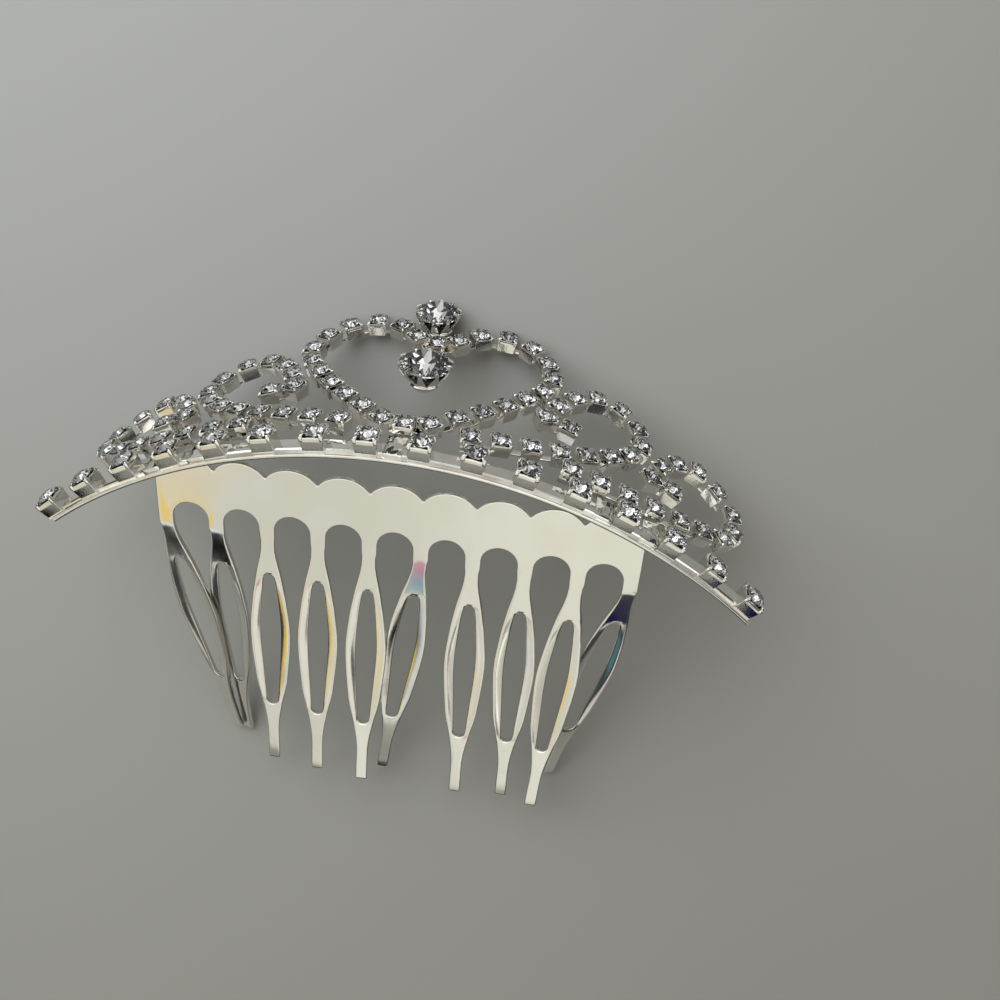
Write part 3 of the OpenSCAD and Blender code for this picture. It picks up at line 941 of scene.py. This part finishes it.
def solder_post(along, top):
    """A post with a lumpy face of solder, from the base row up to the scrolls."""
    height = top + POST_FOOT
    rest()
    bpy.ops.mesh.primitive_grid_add(x_subdivisions=POST_SQUARES[0], y_subdivisions=POST_SQUARES[1], size=1)
    piece = bpy.context.object
    piece.name = "post"
    piece.scale = (POST_WIDTH, height, 1)
    piece.location = (0, 0, POST_THICK * POST_RIM)
    bake()
    edit(piece)
    pick(piece, "VERT", lambda point: abs(point.x) < POST_WIDTH * POST_FACE[0]
         and abs(point.y) < height * POST_FACE[1])
    bpy.ops.transform.translate(value=(0, 0, POST_THICK * POST_RISE))
    seed = int(abs(along) * 10)
    bpy.ops.transform.vertex_random(offset=LUMPS, uniform=LUMP_SHARE, normal=LUMP_SHARE, seed=seed)
    bpy.ops.mesh.select_all(action="SELECT")
    bpy.ops.mesh.extrude_region_move(TRANSFORM_OT_translate={"value": (0, 0, -POST_THICK * POST_RIM)})
    pick(piece, "VERT", lambda point: point.z < POST_THICK * POST_RIM / 2)
    bpy.ops.transform.resize(value=(1, 1, 0), center_override=(0, 0, 0))
    faces_outwards()
    rounded(piece, POST_ROUNDING, angle=10)
    return copied(piece, [scaled(on_band((along, (top - POST_FOOT) / 2), off=-POST_SUNK))])[0]


class TIARA_OT_band(bpy.types.Operator):
    """Makes the strip with its base row of cups, links and solder posts"""

    bl_idname = "tiara.band"
    bl_label = "Band"

    def execute(self, context):
        size = sizes()
        frames = base_frames()
        depth = mm(size.base_wall + size.base_seat)
        seats = [scaled(place) @ Matrix.Translation((0, 0, -depth)) for place in frames]
        cups = copied(cup(mm(size.base_side), mm(size.base_wall), *BASE_CUP), seats)
        foot = mm(size.base_side) * PAD_SIDE
        pads = copied(block("pad", (foot, foot, PAD_THICK), (0, 0, PAD_MIDDLE)), seats)
        links = bars_between(frames, BASE_LINK[0], BASE_LINK[1], depth + BASE_LINK[2])
        posts = [solder_post(u, top) for u, top in POSTS]
        piece = joined("band_dressed", strip() + cups + pads + links + posts)
        finished(piece, "band_dressed", ["band"], [silver_material()])
        return {"FINISHED"}


class TIARA_OT_base_stones(bpy.types.Operator):
    """Cuts the round stones of the base row"""

    bl_idname = "tiara.base_stones"
    bl_label = "Base stones"

    def execute(self, context):
        master = cut_stone(mm(sizes().base_stone), *BASE_CUT)
        stones = copied(master, [scaled(place) for place in base_frames()])
        for name, stone in zip(BASE_STONES, stones):
            finished(stone, name + "_cut", [name], [], FACET_ANGLE)
        return {"FINISHED"}


class TIARA_OT_chains(bpy.types.Operator):
    """Makes the small chains: linked cups bent to the heart and the scrolls"""

    bl_idname = "tiara.chains"
    bl_label = "Chains"

    def execute(self, context):
        size = sizes()
        depth = mm(size.cup_wall + size.cup_seat)
        for chain in CHAINS:
            closed = chain == "heart"
            frames = chain_frames(chain)
            master = cup(mm(size.cup_side), mm(size.cup_wall), *SMALL_CUP)
            pieces = copied(master, [scaled(place) @ Matrix.Translation((0, 0, -depth)) for place in frames])
            pieces += bars_between(frames, SMALL_LINK[0], SMALL_LINK[1], depth - SMALL_LINK[2], closed)
            if closed:
                pieces += heart_bars(frames, depth)
            node = "heart_chain" if closed else chain
            piece = joined(node + "_dressed", pieces)
            finished(piece, node + "_dressed", [node], [silver_material()])
        return {"FINISHED"}


def large_frame(name):
    """The frame of a large stone: X along the band, Z out of the table."""
    seat = stone_seat(stone_corners(name)[0])
    axis = seat[1]
    across = axis.cross(Vector((1, 0, 0))).normalized()
    place = Matrix((across.cross(axis), across, axis)).transposed().to_4x4()
    place.translation = seat[0]
    return place


def heart_bars(frames, depth):
    """The flat bars from the cup between the lobes to the feet of the two settings."""
    drop = mm(sizes().girdle_height - sizes().chain_height) - depth
    worn = worn_frame()[0].inverted()
    upright = [place for place in frames if abs((worn @ place.translation).x) < HEART_MIDDLE]
    joint = max(upright, key=lambda place: (worn @ place.translation).y)
    bars = []
    for name in ("upper_stone", "lower_stone"):
        end = large_frame(name)
        end.translation -= end.to_3x3().col[2] * drop * MM
        bars += bars_between([joint, end], HEART_BAR_WIDTH, SMALL_LINK[1], depth - SMALL_LINK[2])
    return bars


class TIARA_OT_chain_stones(bpy.types.Operator):
    """Cuts the small stones of the chains"""

    bl_idname = "tiara.chain_stones"
    bl_label = "Chain stones"

    def execute(self, context):
        for chain in CHAINS:
            node = chain + "_stones"
            master = cut_stone(mm(sizes().small_stone), *CHAIN_CUT)
            piece = joined(node + "_cut", copied(master, [scaled(place) for place in chain_frames(chain)]))
            finished(piece, node + "_cut", [node], [], FACET_ANGLE)
        return {"FINISHED"}


# A basket: number of its claws, radius of its foot, clearance round its stone, height of its cone, the
# height where the cone's slope would reach the rim, thickness of its metal, how far the claws' feet are sunk
# in the cone, and the gap over its bar
CLAWS = 10
FOOT_RADIUS = 1.4
RIM_ROOM = 0.12
CONE_HEIGHT = 1.0
RIM_LEVEL = -0.3
METAL = 0.3
SUNK = 0.1
BAR_GAP = 0.05
CONE_ROUNDING = 0.06
FINGER_ROUNDING = 0.08
# The claws: height of their first strip, then the share of the way out to the rim, the height from the
# girdle and how it narrows for each step
FINGER_START = 0.02
FINGER_STEPS = ((0.45, -1.6, 0.84), (0.85, -0.55, 0.66), (1.0, 0.1, 0.7), (1.0, 0.5, 0.9), (0.8, 0.85, 0.7))
# Above this height a claw lies on the crown, at this share of the stone's radius
CROWN_LEVEL = 0.6
CLAW_TIP = 0.86
# The sheet of painted shade inside a basket, a dark cone that stands for the shade seen through its windows:
# how far inside the waist and the rim it lies, its top and its thickness
SHADE_SHEET_WAIST = 0.34
SHADE_SHEET_RIM = 0.42
SHADE_SHEET_TOP = -0.62
SHADE_SHEET_THICK = 0.06


def basket(diameter):
    """A claw basket round a stone's girdle at height 0: a foot, a cone and tapered claws with gaps."""
    radius = diameter / 2
    foot_z = -mm(sizes().girdle_height - sizes().chain_height) + SMALL_LINK[1] + SMALL_LINK[2] + BAR_GAP
    waist_z = foot_z + CONE_HEIGHT
    rim_radius = radius + RIM_ROOM
    waist = FOOT_RADIUS + (rim_radius - FOOT_RADIUS) * CONE_HEIGHT / (RIM_LEVEL - foot_z)
    cone = ring(FOOT_RADIUS, foot_z, waist, waist_z, "NGON")
    rest()
    modify(cone, "SOLIDIFY", thickness=METAL, offset=-1)
    rounded(cone, CONE_ROUNDING, angle=SHEET_ANGLE)
    base = 2 * math.pi * waist / CLAWS
    bpy.ops.mesh.primitive_plane_add(size=1)
    finger = bpy.context.object
    finger.scale = (FINGER_START, base, 1)
    finger.rotation_euler = (0, math.pi / 2, 0)
    finger.location = (waist - FINGER_START, 0, waist_z - SUNK)
    bake()
    edit(finger)
    pick(finger, "EDGE", lambda middle: middle.z > waist_z - SUNK + FINGER_START / 4)
    height = waist_z - SUNK + FINGER_START / 2
    for reach, top, share in FINGER_STEPS:
        target = waist + (rim_radius - waist) * reach if top < CROWN_LEVEL else radius * CLAW_TIP
        here = middle_of_selected(finger)
        bpy.ops.mesh.extrude_edges_move(TRANSFORM_OT_translate={"value": (target - here.x, 0, top - height)})
        bpy.ops.transform.resize(value=(1, share, 1))
        height = top
    rest()
    modify(finger, "SOLIDIFY", thickness=METAL, offset=-1)
    rounded(finger, FINGER_ROUNDING, angle=SHEET_ANGLE)
    fingers = copied(finger, [Matrix.Rotation(2 * math.pi * (k + 0.5) / CLAWS, 4, "Z") for k in range(CLAWS)])
    whole = joined("basket", [cone] + fingers)
    whole.data.materials.append(silver_material())
    # A dark sheet inside the cone is painted shade, seen through the windows between the claws
    shade_sheet = painted_shade_sheet(waist - SHADE_SHEET_WAIST, waist_z - SUNK / 2, rim_radius - SHADE_SHEET_RIM)
    return joined("basket", [whole, shade_sheet])


def ring(low_radius, low_z, high_radius, high_z, fill):
    """A circle pushed up and widened to a cone's wall, left in edit mode."""
    rest()
    bpy.ops.mesh.primitive_circle_add(
        vertices=4 * CLAWS, radius=low_radius, fill_type=fill, location=(0, 0, low_z))
    piece = bpy.context.object
    bake()
    edit(piece)
    pick(piece, "EDGE", lambda middle: True)
    bpy.ops.mesh.extrude_edges_move(TRANSFORM_OT_translate={"value": (0, 0, high_z - low_z)})
    grow = high_radius / low_radius
    bpy.ops.transform.resize(value=(grow, grow, 1), center_override=(0, 0, high_z))
    return piece


def painted_shade_sheet(low_radius, low_z, high_radius):
    """A dark sheet inside a basket: painted shade, seen black through its windows."""
    piece = ring(low_radius, low_z, high_radius, SHADE_SHEET_TOP, "NOTHING")
    faces_outwards()
    modify(piece, "SOLIDIFY", thickness=SHADE_SHEET_THICK, offset=-1)
    piece.data.materials.append(painted_shade_material())
    return piece


def middle_of_selected(piece):
    """The middle of what is selected in edit mode."""
    shape = bmesh.from_edit_mesh(piece.data)
    chosen = [vert.co for vert in shape.verts if vert.select]
    return sum(chosen, Vector()) / len(chosen)


class TIARA_OT_settings(bpy.types.Operator):
    """Makes the two claw baskets and cuts their stones"""

    bl_idname = "tiara.settings"
    bl_label = "Settings"

    def execute(self, context):
        for which, diameter in (("upper", sizes().upper_stone), ("lower", sizes().lower_stone)):
            place = scaled(large_frame(which + "_stone"))
            setting, stone = which + "_setting", which + "_stone"
            basket_piece = copied(basket(mm(diameter)), [place])[0]
            finished(basket_piece, setting + "_dressed", [setting], [silver_material()])
            cut_piece = copied(cut_stone(mm(diameter), *LARGE_CUT), [place])[0]
            finished(cut_piece, stone + "_cut", [stone], [], FACET_ANGLE)
        return {"FINISHED"}


# Comb: half widths of a tooth and of its slot by length from the cusps, in millimetres
TOOTH_SIDE = ((8.4, 1.05), (11.9, 1.05), (16.1, 1.83), (20.5, 2.5), (27, 3.0), (36.5, 2.35),
              (40.75, 1.53), (45.4, 0.9), (52.3, 0.9))
SLOT_SIDE = ((16.1, 0.1), (16.25, 0.35), (16.6, 0.62), (17.4, 0.85), (20.5, 1.22), (27, 1.54), (36.5, 1.1),
             (40.4, 0.85), (40.75, 0.4))
SLOT = (16.1, 40.75)
NECK_TOP = 10.4
TOOTH_ROWS = (10.4, 11.9, 13.2, 14.6, 15.6, 16.1, 16.25, 16.6, 17.4, 18.6, 20.0, 21.6, 23.4, 25.2, 27.0, 28.8,
              30.6, 32.4, 34.2, 36.0, 37.6, 39.2, 40.1, 40.5, 40.75, 41.4, 42.6, 44.0, 45.6, 47.4, 49.2, 50.8,
              51.9, 52.3)
# How far the arms are pressed in towards their slot, by length
DISH = ((15.0, 0.0), (20.0, 0.14), (27.0, 0.22), (37.0, 0.14), (42.0, 0.0), (52.3, 0.0))
# The columns of a tooth's arm by its width and how deep each is dished, from its outer edge to its slot
ARM_COLUMNS = ((1.0, 0.0), (0.7, 0.0), (0.35, 0.6), (0.0, 1.0))
# Half width of the middle columns where a tooth has no slot
SOLID_MIDDLE = 0.25
# How far the tips are pressed down at their very end
TIP_START = 51.0
TIP_DROP = 0.05
# The teeth bend from this length on, and are fully twisted before their tips
BEND_START = 9.6
TWIST_SPEED = 1.2
# Bends of the teeth: sideways and out of the sheet at the tip, twist at the tip in degrees
TOOTH_BENDS = ((7.0, -4.5, -18), (1.2, -4.9, -20), (0, 0.3, 0), (-0.1, 1.2, 0), (-0.1, 1.9, 5),
               (-4.7, -1.1, 0), (0.1, 1.3, 0), (0, 0.5, 0), (-2.4, 1.7, 0), (-7.7, -4.9, 18))
# From the comb's face mount to the cusps
MOUNT_DEPTH = 2.6
# The spine: lap over the teeth's roots and points along a scallop
ROOT_LAP = 1.0
SCALLOP_STEPS = 14
# The comb's sheet: thickness and rounding of its edges by the nominal thickness
SHEET_SHARE = 0.8
SHEET_ROUNDING = 0.16
# The cylinder that trims the spine: clearance to the strip, corners and length
TRIM_ROOM = 0.06
TRIM_CORNERS = 360
TRIM_LENGTH = 60
# Faces of a tooth with their middle inside this share of the slot's half width are cut out
SLOT_INSIDE = 0.75
# How near the edges of a root and of its tooth lie to their place, sideways and along
ROOT_REACH = (1.2, 0.03)
# Corners nearer than this, in millimetres, count as in the same place
NEAR = 0.01


def comb_frame():
    """The frame of the comb's sheet, from its face mount: X along the spine, Y to the scallops, Z upwards."""
    mount = next(entry for entry in frame["record"]["mounts"] if entry["name"] == "comb_face")
    normal = Vector(mount["axis"]).normalized()
    side = Vector((1, 0, 0))
    up = normal.cross(side).normalized()
    place = Matrix((side, up, normal)).transposed().to_4x4()
    place.translation = Vector(mount["pos_m"]) - normal * sizes().sheet / 2 + up * MOUNT_DEPTH * MM
    return place


def wire(points):
    """A line of edges through the points, drawn by pushing one corner along."""
    rest()
    bpy.ops.mesh.primitive_plane_add(size=1)
    piece = bpy.context.object
    edit(piece)
    bpy.ops.mesh.select_all(action="SELECT")
    bpy.ops.mesh.merge(type="CENTER")
    bpy.ops.transform.translate(value=points[0])
    for here, there in zip(points, points[1:]):
        bpy.ops.mesh.extrude_vertices_move(TRANSFORM_OT_translate={"value": Vector(there) - Vector(here)})
    rest()
    return piece


def spine():
    """The comb's spine: one scallop over one arch, repeated, with half a root at both ends."""
    size = sizes()
    pitch, arch, scallop = mm(size.tooth_pitch), mm(size.arch_width), mm(size.scallop)
    depth = mm(size.spine_depth)
    neck_end = ROOT_LAP - NECK_TOP
    half = pitch / 2
    radius = (half * half + scallop * scallop) / (2 * scallop)
    spread = math.asin(half / radius)
    turns = [spread * (2 * k / SCALLOP_STEPS - 1) for k in range(SCALLOP_STEPS + 1)]
    top = [(-half, neck_end, 0), (-half, neck_end / 2, 0)]
    top += [(radius * math.sin(turn), scallop - radius + radius * math.cos(turn), 0) for turn in turns]
    top += [(half, neck_end / 2, 0), (half, neck_end, 0)]
    count = len(top) - 3
    turns = [math.pi * k / count for k in range(count + 1)]
    low = [(-arch / 2, neck_end, 0)]
    low += [(-arch / 2 * math.cos(turn), arch / 2 * (math.sin(turn) - 1) - depth, 0) for turn in turns]
    low += [(arch / 2, neck_end, 0)]
    cell = joined("cell", [wire(top), wire(low)])
    edit(cell)
    bpy.ops.mesh.select_all(action="SELECT")
    bpy.ops.mesh.select_mode(type="EDGE")
    bpy.ops.mesh.bridge_edge_loops()
    rest()
    teeth = size.teeth
    gaps = [(k - (teeth - 2) / 2) * pitch for k in range(teeth - 1)]
    cells = copied(cell, [Matrix.Translation((gap, 0, 0)) for gap in gaps])
    piece = joined("spine", cells)
    edit(piece)
    end = (teeth - 1) / 2 * pitch
    bpy.ops.mesh.select_all(action="SELECT")
    bpy.ops.mesh.remove_doubles(threshold=NEAR)
    for side in (-1, 1):
        pick(piece, "EDGE", lambda middle: abs(middle.x - side * end) < NEAR)
        bpy.ops.mesh.extrude_edges_move(TRANSFORM_OT_translate={"value": (side * TOOTH_SIDE[0][1], 0, 0)})
    faces_outwards()
    return piece


def columns(place):
    """Half widths and depths of a tooth's columns at one length, from its outer edge to its middle."""
    side = curve_at(TOOTH_SIDE, place)
    slot = curve_at(SLOT_SIDE, place) if SLOT[0] <= place <= SLOT[1] else side * SOLID_MIDDLE
    dish = curve_at(DISH, place)
    tip = TIP_DROP * max(0.0, place - TIP_START) / (TOOTH_ROWS[-1] - TIP_START)
    arm = [(slot + (side - slot) * share, -dish * deep - tip) for share, deep in ARM_COLUMNS]
    return arm + [(0.0, -tip)]


def straight_tooth():
    """One tooth, straight, pushed out row by row from its root, with its slot cut out."""
    first = columns(TOOTH_ROWS[0])
    across = [(-half, -TOOTH_ROWS[0], drop) for half, drop in first]
    across += [(half, -TOOTH_ROWS[0], drop) for half, drop in reversed(first[:-1])]
    piece = wire(across)
    edit(piece)
    bpy.ops.mesh.select_all(action="SELECT")
    bpy.ops.mesh.select_mode(type="VERT")
    before = first
    for here, there in zip(TOOTH_ROWS, TOOTH_ROWS[1:]):
        pick(piece, "VERT", lambda point: abs(point.y + here) < NEAR)
        bpy.ops.mesh.select_mode(type="EDGE")
        bpy.ops.mesh.extrude_edges_move(TRANSFORM_OT_translate={"value": (0, here - there, 0)})
        after = columns(there)
        shape = bmesh.from_edit_mesh(piece.data)
        row = [vert for vert in shape.verts if abs(vert.co.y + there) < NEAR]
        corners = [vert.index for vert in sorted(row, key=lambda vert: vert.co.x)]
        for k, ((old, old_drop), (new, new_drop)) in enumerate(zip(before[:-1], after[:-1])):
            pick_corners(piece, (corners[k], corners[-1 - k]))
            bpy.ops.transform.resize(value=(new / old, 1, 1), center_override=(0, -there, 0))
            bpy.ops.transform.translate(value=(0, 0, new_drop - old_drop))
        pick(piece, "VERT", lambda point: abs(point.y + there) < NEAR and abs(point.x) < NEAR)
        bpy.ops.transform.translate(value=(0, 0, after[-1][1] - before[-1][1]))
        before = after
    pick(piece, "FACE", lambda middle: SLOT[0] < -middle.y < SLOT[1]
         and abs(middle.x) < curve_at(SLOT_SIDE, -middle.y) * SLOT_INSIDE)
    bpy.ops.mesh.delete(type="FACE")
    rest()
    return piece


def bent_tooth(piece, index):
    """Bends and twists one copy of the tooth row by row."""
    aside, out, twist = TOOTH_BENDS[index]
    tip = TOOTH_ROWS[-1]
    reach = tip - BEND_START
    edit(piece)
    shape = bmesh.from_edit_mesh(piece.data)
    rows = {row: [vert.index for vert in shape.verts if abs(vert.co.y + row) < NEAR] for row in TOOTH_ROWS}
    lean = 1 - math.sqrt(1 - (aside * aside + out * out) / (reach * reach))
    for row in TOOTH_ROWS:
        share = max(0.0, (row - BEND_START) / reach)
        pick_corners(piece, rows[row])
        turn = math.radians(twist) * min(1.0, share * TWIST_SPEED)
        if turn:
            bpy.ops.transform.rotate(value=-turn, orient_axis="Y", center_override=(0, -row, 0))
        bpy.ops.transform.translate(value=(aside * share, reach * share * lean, out * share))
    rest()
    return piece


class TIARA_OT_comb(bpy.types.Operator):
    """Makes the stamped comb: the scalloped spine and ten slotted teeth, bent as they lie"""

    bl_idname = "tiara.comb"
    bl_label = "Comb"

    def execute(self, context):
        size = sizes()
        pitch = mm(size.tooth_pitch)
        middles = [(k - (size.teeth - 1) / 2) * pitch for k in range(size.teeth)]
        teeth = copied(straight_tooth(), [Matrix.Identity(4) for _ in middles])
        for index, tooth in enumerate(teeth):
            bent_tooth(tooth, index)
        for tooth, middle in zip(teeth, middles):
            tooth.matrix_world = Matrix.Translation((middle, 0, 0))
        hold(*teeth)
        bake()
        piece = joined("comb_dressed", [spine()] + teeth)
        edit(piece)
        for middle in middles:
            pick(piece, "EDGE", lambda point: abs(point.x - middle) < ROOT_REACH[0]
                 and min(abs(point.y - end) for end in (ROOT_LAP - NECK_TOP, -NECK_TOP)) < ROOT_REACH[1])
            bpy.ops.mesh.bridge_edge_loops()
        faces_outwards()
        modify(piece, "SOLIDIFY", thickness=mm(size.sheet) * SHEET_SHARE, offset=0, use_even_offset=True)
        rounded(piece, mm(size.sheet) * SHEET_ROUNDING, angle=SHEET_ANGLE)
        trim(piece)
        piece = copied(piece, [scaled(comb_frame())])[0]
        finished(piece, "comb_dressed", ["comb"], [comb_material()], angle=40)
        return {"FINISHED"}


def trim(piece):
    """Trims the spine's corners to the strip's inner face."""
    worn, radius = worn_frame()
    inner = mm(radius - sizes().strip_thickness) - TRIM_ROOM
    to_sheet = scaled(comb_frame()).inverted() @ scaled(worn)
    rest()
    bpy.ops.mesh.primitive_cylinder_add(vertices=TRIM_CORNERS, radius=inner, depth=TRIM_LENGTH)
    cutter = bpy.context.object
    lying = Matrix.Translation((0, 0, -mm(radius))) @ Matrix.Rotation(math.pi / 2, 4, "X")
    cutter.matrix_world = to_sheet @ lying
    hold(cutter)
    bake()
    modify(piece, "BOOLEAN", operation="INTERSECT", object=cutter, solver="EXACT")
    bpy.data.objects.remove(cutter)


class TIARA_PT_panel(bpy.types.Panel):
    """Lists the tiara's pieces and their sizes"""

    bl_idname = "TIARA_PT_panel"
    bl_label = "Clip-in Tiara"
    bl_space_type = "VIEW_3D"
    bl_region_type = "UI"
    bl_category = "Tiara"

    def draw(self, context):
        for operator in OPERATORS:
            self.layout.operator(operator.bl_idname)
        for group in (context.scene.tiara_sizes, context.scene.tiara_looks):
            for name in group.__annotations__:
                self.layout.prop(group, name)


OPERATORS = (TIARA_OT_stage, TIARA_OT_band, TIARA_OT_base_stones, TIARA_OT_chains, TIARA_OT_chain_stones,
             TIARA_OT_settings, TIARA_OT_comb)
CLASSES = (TiaraSizes, TiaraLooks) + OPERATORS + (TIARA_PT_panel,)


def register():
    for cls in CLASSES:
        bpy.utils.register_class(cls)
    bpy.types.Scene.tiara_sizes = PointerProperty(type=TiaraSizes)
    bpy.types.Scene.tiara_looks = PointerProperty(type=TiaraLooks)


def unregister():
    del bpy.types.Scene.tiara_looks
    del bpy.types.Scene.tiara_sizes
    for cls in reversed(CLASSES):
        bpy.utils.unregister_class(cls)


def main():
    register()
    bpy.ops.tiara.stage()
    bpy.ops.tiara.band()
    bpy.ops.tiara.base_stones()
    bpy.ops.tiara.chains()
    bpy.ops.tiara.chain_stones()
    bpy.ops.tiara.settings()
    bpy.ops.tiara.comb()


if __name__ == "__main__":
    main()
